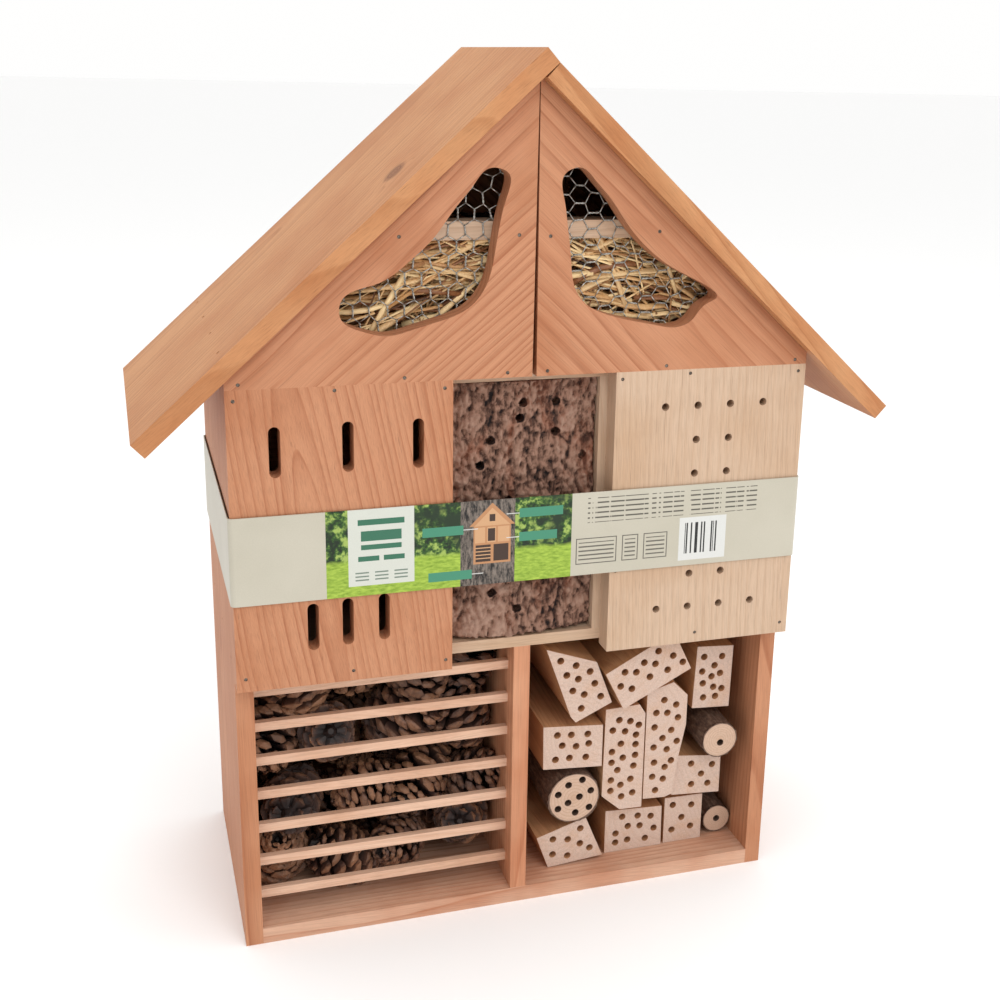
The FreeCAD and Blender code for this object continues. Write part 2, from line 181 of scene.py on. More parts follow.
def wood(name, centre, grain, early, late, seed, ring=3.6 * MM, pith=(0.03, 0.10), tilt=0.07,
         contrast=0.8, sawn_end=None, knots=(), red=None):
    """Sawn softwood: growth rings round a pith beside the board, fibres, pores and blotches."""
    draw = random.Random(seed)
    t = Tree(name)
    p = t.coords()
    turn = grain.to_matrix()
    shift = -(turn @ Vector(centre))
    q = t.mapping(p, tuple(shift), tuple(grain))
    tilted = (draw.uniform(-tilt, tilt), draw.uniform(-tilt, tilt), draw.uniform(0, 6.28))
    q = t.mapping(q, (pith[0], pith[1], draw.uniform(0, 9)), tilted)
    wander = t.noise(t.mapping(q, scale=(1, 1, 0.22)), 9.0, 2.0)
    ripple = t.noise(t.mapping(q, scale=(1, 1, 0.12)), 70.0, 2.0)
    radius = t.vector("LENGTH", t.vector("MULTIPLY", q, (1, 1, 0)))
    radius = t.math("ADD", radius, t.math("MULTIPLY", wander, 30 * MM))
    radius = t.math("ADD", radius, t.math("MULTIPLY", ripple, 2.2 * MM))
    year = t.nodes.new("ShaderNodeCombineXYZ")
    t.link(radius, year.inputs[0])
    radius = t.math("ADD", radius, t.math("MULTIPLY", t.noise(year.outputs[0], 95.0, 1.0), 2.2 * ring))
    knot_dark = None
    for place, size in knots:
        away = t.vector("SUBTRACT", p, place)
        away = t.vector("MULTIPLY", away, tuple(1 / s for s in size))
        d = t.vector("LENGTH", away)
        swell = t.math("POWER", 2.718, t.math("MULTIPLY", t.math("MULTIPLY", d, d), -0.55))
        radius = t.math("ADD", radius, t.math("MULTIPLY", swell, 11 * MM))
        here = t.math("SUBTRACT", 1.0, t.span(d, 0.55, 1.0))
        rings = t.math("ADD", d, t.math("MULTIPLY", ripple, 0.4))
        rings = t.math("FRACT", t.math("MULTIPLY", rings, 4.0))
        here = t.math("MULTIPLY", here, t.math("ADD", 0.6, t.math("MULTIPLY", rings, 0.4)))
        knot_dark = here if knot_dark is None else t.math("MAXIMUM", knot_dark, here)
    phase = t.math("FRACT", t.math("MULTIPLY", radius, 1 / ring))
    rings = t.ramp(phase, [(0.0, 0.10), (0.35, 0.0), (0.80, 0.55), (0.92, 1.0), (0.97, 0.75),
                           (1.0, 0.10)])
    fibre = t.noise(t.mapping(q, scale=(1, 1, 0.018)), 1500.0, 3.0, 0.65)
    streak = t.noise(t.mapping(q, scale=(1, 1, 0.03)), 260.0, 3.0, 0.6)
    blotch = t.noise(q, 14.0, 3.0, 0.55)
    patchy = t.span(t.noise(t.mapping(q, scale=(1, 1, 0.35)), 20.0, 2.0), 0.25, 0.75)
    amount = t.math("MULTIPLY", rings, t.math("ADD", 0.30, t.math("MULTIPLY", streak, 0.9)))
    amount = t.math("MULTIPLY", amount, t.math("ADD", 0.55, t.math("MULTIPLY", patchy, 0.6)))
    amount = t.math("MULTIPLY", amount, contrast, clamp=True)
    colour = t.mix(amount, early, late)
    colour = t.mix(t.math("MULTIPLY", t.span(blotch, 0.42, 0.70), 0.55), colour, red or late)
    shade = t.ramp(fibre, [(0.30, 0.80), (0.52, 1.0), (0.75, 1.10)])
    colour = t.mix(0.8, colour, shade, "MULTIPLY")
    pores = t.noise(t.mapping(q, scale=(1, 1, 0.01)), 700.0, 2.0, 0.7)
    pores = t.ramp(pores, [(0.26, 0.62), (0.34, 1.0)])
    colour = t.mix(0.7, colour, pores, "MULTIPLY")
    height = t.math("ADD", t.math("MULTIPLY", fibre, 0.7), t.math("MULTIPLY", rings, 0.35))
    if sawn_end is not None:
        # A sawn end shows paler and duller than the planed sides.
        across = t.math("ABSOLUTE", t.split(t.normal())[1])
        end = t.span(across, 0.75, 0.95)
        speckle = t.noise(p, 900.0, 4.0, 0.7)
        smudge = t.noise(p, 60.0, 3.0, 0.6)
        tone = t.mix(t.math("MULTIPLY", rings, 0.12), sawn_end, late)
        tone = t.mix(t.math("MULTIPLY", t.span(smudge, 0.5, 0.75), 0.35), tone, early)
        tone = t.mix(0.75, tone, t.ramp(speckle, [(0.3, 0.74), (0.7, 1.12)]), "MULTIPLY")
        colour = t.mix(end, colour, tone)
        height = t.math("ADD", height, t.math("MULTIPLY", speckle, 0.9))
    if knot_dark is not None:
        colour = t.mix(t.math("MULTIPLY", knot_dark, 0.85, clamp=True), colour, srgb(104, 58, 32))
    return t.finish(colour, BOARD_ROUGH, height, 0.35 * MM, 0.55)


def centre_of(node):
    low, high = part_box(node)
    return (Vector(low) + Vector(high)) / 2


def paint(node, material):
    """Gives a CAD node its finish."""
    slots = NODES[node].data.materials
    slots.clear()
    slots.append(material)


def ease(node, width=0.7 * MM, segments=2):
    """Breaks a board's sharp edges."""
    bevel = NODES[node].modifiers.new("eased_edges", "BEVEL")
    bevel.width = width
    bevel.segments = segments
    bevel.limit_method = "ANGLE"
    bevel.angle_limit = math.radians(50)
    bevel.use_clamp_overlap = True


EARLY = srgb(204, 148, 114)
LATE = srgb(160, 92, 58)
RED = srgb(176, 108, 72)
PANEL_EARLY = srgb(188, 132, 98)
PANEL_LATE = srgb(152, 90, 58)
PANEL_RED = srgb(166, 104, 68)
BOTTOM_EARLY = srgb(206, 164, 138)
BOTTOM_LATE = srgb(172, 114, 82)
PALE_EARLY = srgb(196, 168, 143)
PALE_LATE = srgb(166, 130, 100)
ROOF_EARLY = srgb(194, 140, 96)
ROOF_LATE = srgb(150, 92, 50)
SLAT_EARLY = srgb(220, 182, 156)
SLAT_LATE = srgb(188, 140, 110)
SIDE_EARLY = srgb(196, 148, 108)
SIDE_LATE = srgb(160, 106, 68)
CUT_PALE = srgb(204, 178, 162)


def finish_boards():
    """Every CAD board keeps its shape and gets its own piece of wood."""
    boards = {
        "side_board_left": ALONG_Z, "side_board_right": ALONG_Z, "bottom_board": ALONG_X,
        "lower_divider": ALONG_Z,
        "gable_left": along_slope(-1), "gable_right": along_slope(1), "butterfly_panel": ALONG_Z,
    }
    for name in NODES:
        if name.startswith("back_plank"):
            boards[name] = ALONG_X
        if name.startswith("back_gable"):
            boards[name] = along_slope(-1 if name.endswith("left") else 1)
    for seed, (name, grain) in enumerate(sorted(boards.items())):
        draw = random.Random(100 + seed)
        pith = (draw.uniform(-0.03, 0.03), draw.choice((-1, 1)) * draw.uniform(0.03, 0.07))
        tilt = 0.07
        if name == "butterfly_panel":
            pith, tilt = (0.004, 0.022), 0.17
        early, late, red = EARLY, LATE, RED
        if name.startswith(("gable", "butterfly", "back", "side")):
            early, late, red = PANEL_EARLY, PANEL_LATE, PANEL_RED
        if name == "bottom_board":
            early, late, red = BOTTOM_EARLY, BOTTOM_LATE, RED
        paint(name, wood("wood_" + name, centre_of(name), grain, early, late, seed,
                         ring=draw.uniform(4.5, 7.5) * MM, pith=pith, tilt=tilt, contrast=0.95, red=red))
        ease(name)
    for name in ("bay_divider_left", "bay_divider_right", "drilled_panel", "gable_batten",
                 "shelf_board", "ceiling_board"):
        grain = ALONG_Z if name.startswith(("bay", "drilled")) else ALONG_X
        paint(name, wood("wood_" + name, centre_of(name), grain, PALE_EARLY, PALE_LATE, len(name),
                         ring=5.5 * MM, pith=(0.05, 0.12), contrast=0.45, red=srgb(180, 144, 112)))
        ease(name)
    for side, sign, seed in (("left", -1, 31), ("right", 1, 32)):
        name = "roof_" + side
        knots = [(ROOF_KNOT, (13 * MM, 13 * MM, 9 * MM))] if side == "left" else []
        paint(name, wood("wood_" + name, centre_of(name), along_slope(sign), ROOF_EARLY, ROOF_LATE,
                         seed, ring=6.5 * MM, pith=(0.02, 0.09), contrast=0.8, knots=knots,
                         red=srgb(170, 104, 60)))
        ease(name, 1.0 * MM)
    for name in NODES:
        if name.startswith("slat_"):
            paint(name, wood("wood_" + name, centre_of(name), ALONG_X, SLAT_EARLY, SLAT_LATE,
                             ord(name[-1]), contrast=0.5, red=SLAT_LATE))
            ease(name, 0.3 * MM)
        if name.startswith("block_"):
            draw = random.Random(name)
            pith = (draw.uniform(-0.04, 0.04), draw.uniform(0.01, 0.06))
            paint(name, wood("wood_" + name, centre_of(name), ALONG_Y, SIDE_EARLY, SIDE_LATE,
                             ord(name[-1]), ring=4.2 * MM, pith=pith, contrast=0.7,
                             sawn_end=CUT_PALE, red=SIDE_LATE))
            ease(name, 0.4 * MM, 1)


low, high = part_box("roof_left")
ROOF_KNOT = (-0.085, -0.075, high[2] - 0.079)


# ---- mesh building ------------------------------------------------------------------
class Builder:
    """Collects vertices, faces and one number a vertex, then makes one object."""

    def __init__(self):
        self.verts, self.faces, self.tones = [], [], []

    def add(self, verts, faces, tones):
        start = len(self.verts)
        self.verts += verts
        self.faces += [tuple(i + start for i in face) for face in faces]
        self.tones += tones

    def tube(self, path, radii, sides=5, tone=0.5, flat=1.0):
        """A closed tube along a path of Vectors."""
        verts, faces = [], []
        ahead = (path[1] - path[0]).normalized()
        side = ahead.orthogonal().normalized()
        for k, point in enumerate(path):
            if 0 < k < len(path) - 1:
                ahead = (path[k + 1] - path[k - 1]).normalized()
            elif k:
                ahead = (path[k] - path[k - 1]).normalized()
            side = (side - ahead * side.dot(ahead)).normalized()
            up = ahead.cross(side)
            for j in range(sides):
                a = 2 * math.pi * j / sides
                across = side * (math.cos(a) * radii[k])
                verts.append(point + across + up * (math.sin(a) * radii[k] * flat))
        for k in range(len(path) - 1):
            for j in range(sides):
                i = (j + 1) % sides
                a, b = k * sides, (k + 1) * sides
                faces.append((a + j, a + i, b + i, b + j))
        faces.append(tuple(range(sides - 1, -1, -1)))
        faces.append(tuple(range(len(verts) - sides, len(verts))))
        self.add(verts, faces, [tone] * len(verts))

    def close_slab(self, columns, rows, back):
        """Faces for a grid of front vertices, its copy from index back on, and the rim between."""
        step = rows + 1
        for i in range(columns):
            for j in range(rows):
                a = i * step + j
                self.faces.append((a, a + step, a + step + 1, a + 1))
                self.faces.append((back + a, back + a + 1, back + a + step + 1, back + a + step))
        edge = [i * step for i in range(columns + 1)]
        edge += [columns * step + j for j in range(1, rows + 1)]
        edge += [i * step + rows for i in range(columns - 1, -1, -1)]
        edge += [j for j in range(rows - 1, 0, -1)]
        for a, b in zip(edge, edge[1:] + edge[:1]):
            self.faces.append((b, a, back + a, back + b))

    def make(self, name, material, smooth=True):
        mesh = bpy.data.meshes.new(name)
        mesh.from_pydata([tuple(v) for v in self.verts], [], self.faces)
        tone = mesh.attributes.new("tone", "FLOAT", "POINT")
        tone.data.foreach_set("value", self.tones)
        mesh.polygons.foreach_set("use_smooth", [smooth] * len(mesh.polygons))
        mesh.materials.append(material)
        mesh.update()
        piece = bpy.data.objects.new(name, mesh)
        bpy.context.scene.collection.objects.link(piece)
        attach(piece, HOUSE)
        return piece


# ---- pine cones ---------------------------------------------------------------------
SCALES = 104
GOLDEN = math.radians(137.508)
# Part of a scale's reach, then its half width and half thickness there.
SCALE_STATIONS = ((0.0, 0.40, 0.12), (0.50, 0.72, 0.14), (0.80, 0.98, 0.26), (0.94, 0.92, 0.46),
                  (1.0, 0.55, 0.34))


def cone_shape(draw, length, radius, openness, age):
    """One pine cone about Z, its scales spread by openness: (vertices, faces, tones)."""
    verts, faces, tones = [], [], []
    for i in range(SCALES):
        t = (i + 0.5) / SCALES
        swell = math.sin(math.pi * (0.10 + 0.84 * t ** 0.85)) ** 0.75
        reach = radius * swell * draw.uniform(0.88, 1.06)
        core = 0.22 * radius * (1 - 0.6 * t)
        lift = math.radians(-14 - openness + 84 * t ** 1.3 + draw.uniform(-9, 9))
        angle = i * GOLDEN + draw.uniform(-0.05, 0.05)
        out = Vector((math.cos(angle), math.sin(angle), 0))
        side = Vector((-math.sin(angle), math.cos(angle), 0))
        base = Vector((0, 0, length * (t - 0.5) * 0.86)) + out * core
        wide = 0.27 * reach * draw.uniform(0.8, 1.15) + 0.05 * radius
        tone = draw.uniform(0, 0.25) + age
        start = len(verts)
        point = base.copy()
        before = 0.0
        for k, (s, w, h) in enumerate(SCALE_STATIONS):
            bend = lift + 0.5 * s * s
            ahead = out * math.cos(bend) + Vector((0, 0, math.sin(bend)))
            point = point + ahead * ((s - before) * (reach - core))
            before = s
            up = side.cross(ahead) * -1
            half, thick = wide * w, wide * h
            ring = ((-1, -0.1), (-0.55, 0.8), (0.55, 0.8), (1, -0.1), (0.5, -1.0), (-0.5, -1.0))
            for a, b in ring:
                verts.append(point + side * (half * a) + up * (thick * b))
                # Tone: painted shade near black at the scale's root inside the cone, rising to the paler
                # tip the scale has, plus its random tone.
                tones.append(0.75 * s ** 3 + tone * s)
            if k:
                a, b = start + (k - 1) * 6, start + k * 6
                faces += [(a + j, a + (j + 1) % 6, b + (j + 1) % 6, b + j) for j in range(6)]
        tip = len(verts)
        verts.append(point + ahead * (0.06 * radius) + up * (wide * 0.10))
        tones.append(0.85)
        faces += [(tip - 6 + j, tip - 6 + (j + 1) % 6, tip) for j in range(6)]
    # The stem end, a low boss that closes the base.
    stem = [Vector((0, 0, -0.47 * length)), Vector((0, 0, -0.38 * length)), Vector((0, 0, 0.40 * length))]
    core_tube = Builder()
    # Its low tone paints the stem core dark, as painted shade inside the cone.
    core_tube.tube(stem, [0.10 * radius, 0.24 * radius, 0.06 * radius], 8, 0.1)
    faces += [tuple(j + len(verts) for j in face) for face in core_tube.faces]
    verts += core_tube.verts
    tones += core_tube.tones
    return verts, faces, tones


def cone_material():
    t = Tree("pine_cone")
    p = t.coords()
    tone = t.attribute("tone")
    grit = t.noise(p, 420.0, 4.0, 0.65)
    wide = t.noise(p, 30.0, 2.0)
    value = t.math("ADD", tone, t.math("MULTIPLY", t.math("SUBTRACT", grit, 0.5), 0.45))
    # The ramp turns the tone's painted shade near black at the scale roots and on the stem core, and
    # paler brown at the tips.
    colour = t.ramp(value, [(0.05, srgb(28, 19, 17)), (0.40, srgb(58, 40, 34)), (0.72, srgb(94, 64, 50)),
                            (0.98, srgb(150, 108, 80))])
    colour = t.mix(t.math("MULTIPLY", t.span(wide, 0.45, 0.65), 0.6), colour, srgb(50, 38, 36))
    return t.finish(colour, 0.55, grit, 0.5 * MM, 0.7, specular=0.45)


def make_cones():
    """Cones lie every way in the bay; each stands for one egg of the CAD layer."""
    material = cone_material()
    columns, rows = 4, 4
    for layer, seed in (("front", 5), ("rear", 6)):
        name = "pine_cones_" + layer
        low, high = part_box(name)
        draw = random.Random(seed)
        builder = Builder()
        cell = ((high[0] - low[0]) / columns, (high[2] - low[2]) / rows)
        middle_y = (low[1] + high[1]) / 2
        for row in range(rows):
            for column in range(columns):
                length = draw.uniform(46, 68) * MM
                radius = length * draw.uniform(0.36, 0.43)
                openness = draw.uniform(-6, 26)
                age = draw.uniform(-0.15, 0.30)
                verts, faces, tones = cone_shape(draw, length, radius, openness, age)
                turn = Euler((draw.uniform(0, 6.28), draw.uniform(-1.5, 1.5), draw.uniform(0, 6.28)))
                stagger = (row % 2 - 0.5) * 14 * MM
                place = Vector((low[0] + (column + 0.5) * cell[0] + stagger + draw.uniform(-7, 7) * MM,
                                middle_y + draw.uniform(-6, 8) * MM,
                                low[2] + (row + 0.5) * cell[1] + draw.uniform(-8, 8) * MM))
                move = Matrix.Translation(place) @ turn.to_matrix().to_4x4()
                moved = [hold_in(move @ v, CONE_ROOM) for v in verts]
                builder.add(moved, faces, tones)
        piece = builder.make("cones_" + layer, material, smooth=False)
        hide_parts(name)


def hold_in(point, room):
    """The point, moved to the nearest place inside a (low, high) box."""
    low, high = room
    return Vector([min(max(c, a), b) for c, a, b in zip(point, low, high)])


inner_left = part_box("side_board_left")[1][0]
slat_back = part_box("slat_1")[1][1]
CONE_ROOM = ((inner_left + 0.3 * MM, slat_back + 0.3 * MM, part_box("bottom_board")[1][2] + 0.2 * MM),
             (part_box("lower_divider")[0][0] - 0.3 * MM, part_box("back_plank_1")[0][1] - 0.5 * MM,
              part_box("shelf_board")[0][2] - 0.3 * MM))


# ---- straw --------------------------------------------------------------------------
STALKS = 900


def straw_material():
    t = Tree("straw")
    p = t.coords()
    tone = t.attribute("tone")
    fine = t.noise(p, 700.0, 3.0, 0.6)
    value = t.math("ADD", tone, t.math("MULTIPLY", t.math("SUBTRACT", fine, 0.5), 0.35))
    # The tone mixes the straw's own random shade with painted shade, so straw at the back of the box and
    # the core come out dark.
    colour = t.ramp(value, [(0.0, srgb(40, 24, 16)), (0.3, srgb(136, 88, 54)), (0.6, srgb(204, 156, 102)),
                            (0.9, srgb(240, 210, 158))])
    return t.finish(colour, 0.45, fine, 0.2 * MM, 0.4, specular=0.45)


def make_straw():
    """Loose stalks and flattened leaves over a packed core."""
    low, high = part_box("straw_fill")
    material = straw_material()
    draw = random.Random(12)
    builder = Builder()
    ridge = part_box("gable_left")[1][2]

    def room_at(z):
        return min((ridge - z) / math.tan(PITCH) - 14 * MM, 0.165)

    for _ in range(STALKS):
        y = low[1] + 2 * MM + (high[1] - low[1] - 12 * MM) * draw.random() ** 2.2
        z = draw.uniform(low[2] + 4 * MM, high[2] + 2 * MM)
        x = draw.uniform(-1, 1) * (room_at(z) - 4 * MM)
        length = draw.uniform(45, 150) * MM
        heading = draw.gauss(0.35 if x < 0 else -0.30, 0.50)
        if draw.random() < 0.2:
            heading = draw.uniform(0, 6.28)
        ahead = Vector((math.cos(heading), draw.gauss(0, 0.16), math.sin(heading) * 0.8)).normalized()
        bend = Vector((draw.gauss(0, 1), draw.gauss(0, 0.3), draw.gauss(0, 1))) * (length * 0.06)
        path = []
        for s in (-0.5, -0.25, 0.0, 0.25, 0.5):
            point = Vector((x, y, z)) + ahead * (length * s) + bend * (4 * s * s)
            point.y = min(max(point.y, low[1] + 1.2 * MM), high[1] - 2 * MM)
            point.z = min(max(point.z, low[2] + 2 * MM), high[2] + 7 * MM)
            half = room_at(point.z)
            point.x = min(max(point.x, -half), half)
            path.append(point)
        if (path[-1] - path[0]).length < 14 * MM or (path[1] - path[0]).length < 2 * MM:
            continue
        if (path[-1] - path[-2]).length < 2 * MM:
            continue
        radius = draw.choice((0.6, 0.8, 1.0, 1.3, 1.9, 2.6)) * draw.uniform(0.85, 1.15) * MM
        flat = draw.choice((0.8, 0.5, 0.3, 0.22))
        # Painted shade: on top of its random tone, a stalk is toned darker the further back in the box it
        # sits.
        depth_shade = (y - low[1]) / (high[1] - low[1])
        tone = min(max(draw.gauss(0.70, 0.28) - 0.9 * depth_shade, 0), 1)
        builder.tube(path, [radius * w for w in (0.85, 1, 1, 1, 0.8)], 6, tone, flat)
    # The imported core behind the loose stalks.
    core = Builder()
    columns, rows = 60, 18
    for i in range(columns + 1):
        for j in range(rows + 1):
            z = low[2] + (high[2] - low[2] - 4 * MM) * j / rows
            x = (2 * i / columns - 1) * room_at(z)
            lump = noise.fractal(Vector((x * 60, 3.0, z * 60)), 1.0, 2.0, 4)
            core.verts.append(Vector((x, low[1] + 16 * MM + 5 * MM * lump, z)))
            # Painted shade: the packed core is toned dark, and its back face darker still.
            core.tones.append(0.2 + 0.15 * lump)
    back = len(core.verts)
    for v in list(core.verts):
        core.verts.append(Vector((v.x, high[1] - 4 * MM, v.z)))
        core.tones.append(0.1)
    core.close_slab(columns, rows, back)
    builder.add(core.verts, core.faces, core.tones)
    piece = builder.make("straw", material)
    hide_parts("straw_fill")


# ---- hexagonal wire mesh ------------------------------------------------------------
CELL = 11.4 * MM
WIRE_R = 0.38 * MM
TWIST_TURNS = 1.5


def wire_material():
    t = Tree("galvanised_wire")
    p = t.coords()
    grime = t.noise(p, 300.0, 4.0, 0.6)
    colour = t.ramp(grime, [(0.3, srgb(120, 118, 112)), (0.6, srgb(196, 196, 190))])
    return t.finish(colour, 0.38, grime, 0.1 * MM, 0.4, metallic=0.85)


def make_wire(side, upright, material, seed):
    """Hexagons of wire, two wires twisted together on one side of each."""
    low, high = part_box("wire_mesh_" + side)
    y = (low[1] + high[1]) / 2
    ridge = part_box("gable_left")[1][2]
    draw = random.Random(seed)
    builder = Builder()
    jitter = {}

    def corner(u, v):
        key = (round(u / MM * 2), round(v / MM * 2))
        if key not in jitter:
            jitter[key] = Vector([draw.gauss(0, spread) * MM for spread in (0.5, 0.12, 0.5)])
        x, z = (u, v) if upright else (v, u)
        return Vector((low[0] + x, y, low[2] + z)) + jitter[key]

    def inside(point):
        drop = 7 * MM / math.cos(PITCH)
        roof = ridge - drop - math.tan(PITCH) * abs(point.x)
        return low[0] <= point.x <= high[0] and low[2] <= point.z <= min(high[2], roof)

    def clipped(a, b):
        if not inside(a) and not inside(b):
            return None
        keep = []
        for k in range(9):
            point = a.lerp(b, k / 8)
            if inside(point):
                keep.append(point)
        return (keep[0], keep[-1]) if len(keep) > 1 else None

    # Cells: twisted edges along v, single wires zigzag between them.
    half, straight = CELL / 2, CELL * 0.58
    rise = CELL * 0.31
    pitch_v = straight + rise
    size = max(high[0] - low[0], high[2] - low[2])
    columns, rows = int(size / half) + 2, int(size / pitch_v) + 2
    for row in range(-1, rows):
        v = row * pitch_v
        for column in range(-1, columns):
            if (column + row) % 2:
                continue
            u = column * half
            foot, head = corner(u, v), corner(u, v + straight)
            ends = clipped(foot, head)
            if ends:
                twist(builder, *ends)
            for away in (-half, half):
                ends = clipped(head, corner(u + away, v + pitch_v))
                if ends:
                    builder.tube([ends[0], ends[1]], [WIRE_R] * 2, 6)
    piece = builder.make("hex_wire_" + side, material)
    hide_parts("wire_mesh_" + side)


def twist(builder, a, b):
    """Two wires wound round each other from a to b."""
    ahead = (b - a).normalized()
    side = ahead.orthogonal().normalized()
    up = ahead.cross(side)
    for start in (0, math.pi):
        path = []
        for k in range(9):
            angle = start + 2 * math.pi * TWIST_TURNS * k / 8
            around = (side * math.cos(angle) + up * math.sin(angle)) * (WIRE_R * 0.95)
            path.append(a.lerp(b, k / 8) + around)
        builder.tube(path, [WIRE_R] * 9, 5)


# ---- bark and branches --------------------------------------------------------------
def bark_material():
    t = Tree("pine_bark")
    p = t.coords()
    height = t.attribute("tone")
    q = t.mapping(p, scale=(1, 1, 0.4))
    grit = t.noise(q, 420.0, 6.0, 0.75)
    patch = t.noise(q, 55.0, 4.0, 0.6, 0.6)
    value = t.math("ADD", height, t.math("MULTIPLY", t.math("SUBTRACT", grit, 0.5), 1.1))
    # Colour follows the relief: the fissures are darker, partly the bark's own colour and partly painted
    # shade that reaches near black at the bottom; the plates are paler.
    colour = t.ramp(value, [(0.05, srgb(30, 22, 21)), (0.28, srgb(96, 68, 56)),
                            (0.50, srgb(148, 112, 94)), (0.90, srgb(170, 136, 118))])
    hollow = t.math("SUBTRACT", 1.0, t.span(height, 0.55, 0.85))
    orange = t.math("MULTIPLY", t.span(patch, 0.52, 0.72), hollow)
    colour = t.mix(t.math("MULTIPLY", orange, 0.6), colour, srgb(150, 88, 62))
    return t.finish(colour, 0.8, grit, 1.4 * MM, 1.0, specular=0.25)


def bark_height(x, z, seed):
    """Bark relief from 0 in the fissures to 1 on the plates."""
    warp = noise.noise(Vector((x * 40, seed, z * 25))) * 0.009
    place = Vector(((x + warp) * 104, seed, (z + warp * 0.6) * 44))
    near, _ = noise.voronoi(place, distance_metric="DISTANCE", exponent=2.5)
    plate = min((near[1] - near[0]) * 2.6, 1.0)
    small, _ = noise.voronoi(place * 2.7, distance_metric="DISTANCE", exponent=2.5)
    flake = min((small[1] - small[0]) * 2.0, 1.0)
    rough = noise.fractal(Vector((x * 300, seed + 3, z * 200)), 0.8, 2.1, 5)
    broad = noise.fractal(Vector((x * 26, seed + 7, z * 16)), 1.0, 2.0, 3)
    height = 0.38 * plate ** 0.7 + 0.20 * flake ** 0.6
    height = height + 0.34 * (0.5 + rough) + 0.34 * (0.5 + broad) - 0.14
    # Layers flake off in steps.
    layer = math.floor(height * 6) / 6
    return min(max(0.45 * height + 0.55 * layer, 0), 1)


def drill_holes(piece, places, y0, depth, diameter):
    """Cuts round holes along Y with a boolean, then applies it."""
    cutter = Builder()
    for x, z in places:
        cutter.tube([Vector((x, y0, z)), Vector((x, y0 + depth, z))], [diameter / 2] * 2, 20)
    mesh = bpy.data.meshes.new("cutter")
    mesh.from_pydata([tuple(v) for v in cutter.verts], [], cutter.faces)
    tool = bpy.data.objects.new("cutter", mesh)
    bpy.context.scene.collection.objects.link(tool)
    cut = piece.modifiers.new("holes", "BOOLEAN")
    cut.operation = "DIFFERENCE"
    cut.object = tool
    cut.solver = "EXACT"
    graph = bpy.context.evaluated_depsgraph_get()
    shaped = bpy.data.meshes.new_from_object(piece.evaluated_get(graph))
    piece.modifiers.clear()
    piece.data = shaped
    bpy.data.objects.remove(tool)


BARK_DRILL = 6 * MM
LOG_DRILL = 5.5 * MM
# Places of the drilled holes, x and z in millimetres.
BARK_HOLES = [(-25, 361), (-32, 344), (21, 386), (21, 365), (42, 346), (-3, 387), (-5, 376),
              (-12, 318), (18, 300), (-23, 251), (-5, 238), (28, 262)]


def make_bark():
    low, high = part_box("bark_slab")
    width = high[0] - low[0]
    columns, rows = 120, 200
    relief = 6.0 * MM
    builder = Builder()
    for i in range(columns + 1):
        for j in range(rows + 1):
            u, v = i / columns, j / rows
            x, z = low[0] + width * u, low[2] + (high[2] - low[2]) * v
            h = bark_height(x, z, 2.0)
            crown = 8 * MM * (2 * u - 1) ** 2
            # The lower edge is ragged, and hangs a little over the shelf.
            ragged = 0.0
            if j < 3:
                ragged = (3 - j) / 3 * (2.5 + 3.0 * noise.noise(Vector((x * 130, 1, 0)))) * MM
            y = low[1] + crown + relief * (1 - h) - 0.5 * MM
            builder.verts.append(Vector((x, y, z + ragged * 0.8)))
            builder.tones.append(h)
    back = len(builder.verts)
    for i in range(columns + 1):
        for j in range(rows + 1):
            v = builder.verts[i * (rows + 1) + j]
            builder.verts.append(Vector((v.x, high[1], v.z)))
            builder.tones.append(0.3)
    builder.close_slab(columns, rows, back)
    piece = builder.make("bark", bark_material())
    drill_holes(piece, [(x * MM, z * MM) for x, z in BARK_HOLES], low[1] - 4 * MM, 20 * MM, BARK_DRILL)
    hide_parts("bark_slab")


LOG_HOLES = {
    "log_large": [(54, 86), (43, 83), (61, 76), (35, 76), (52, 72), (43, 68), (60, 62), (35, 64),
                  (49, 59)],
    "log_middle": [(164, 105)],
    "log_small": [(175.5, 24.5)],
}


def log_material(name, centre, radius):
    """Bark outside, pale ringed wood with a darker pith on the sawn ends."""
    t = Tree(name)
    p = t.coords()
    wander = t.noise(p, 40.0, 2.0)
    off = t.vector("MULTIPLY", t.vector("SUBTRACT", p, tuple(centre)), (1, 0, 1))
    d = t.math("DIVIDE", t.vector("LENGTH", off), radius)
    d2 = t.math("ADD", d, t.math("MULTIPLY", t.math("SUBTRACT", wander, 0.5), 0.08))
    end = t.span(t.math("ABSOLUTE", t.split(t.normal())[1]), 0.6, 0.8)
    phase = t.math("FRACT", t.math("MULTIPLY", d2, 8.0))
    rings = t.ramp(phase, [(0.0, 0.0), (0.6, 0.2), (0.9, 1.0), (1.0, 0.0)])
    speck = t.noise(p, 800.0, 4.0, 0.7)
    wood_colour = t.mix(t.math("MULTIPLY", rings, 0.45), srgb(202, 172, 150), srgb(170, 130, 104))
    wood_colour = t.mix(0.6, wood_colour, t.ramp(speck, [(0.3, 0.80), (0.7, 1.08)]), "MULTIPLY")
    pith = t.math("SUBTRACT", 1.0, t.span(d, 0.02, 0.30))
    wood_colour = t.mix(t.math("MULTIPLY", pith, 0.5), wood_colour, srgb(184, 146, 118))
    rim = t.span(d2, 0.89, 0.93)
    grit = t.noise(t.mapping(p, scale=(1, 0.35, 1)), 380.0, 5.0, 0.7)
    skin = t.ramp(grit, [(0.25, srgb(52, 38, 34)), (0.5, srgb(98, 76, 64)), (0.75, srgb(142, 116, 98))])
    colour = t.mix(t.math("MULTIPLY", end, t.math("SUBTRACT", 1.0, rim)), skin, wood_colour)
    return t.finish(colour, 0.75, t.math("ADD", grit, speck), 0.5 * MM, 0.7, specular=0.2)


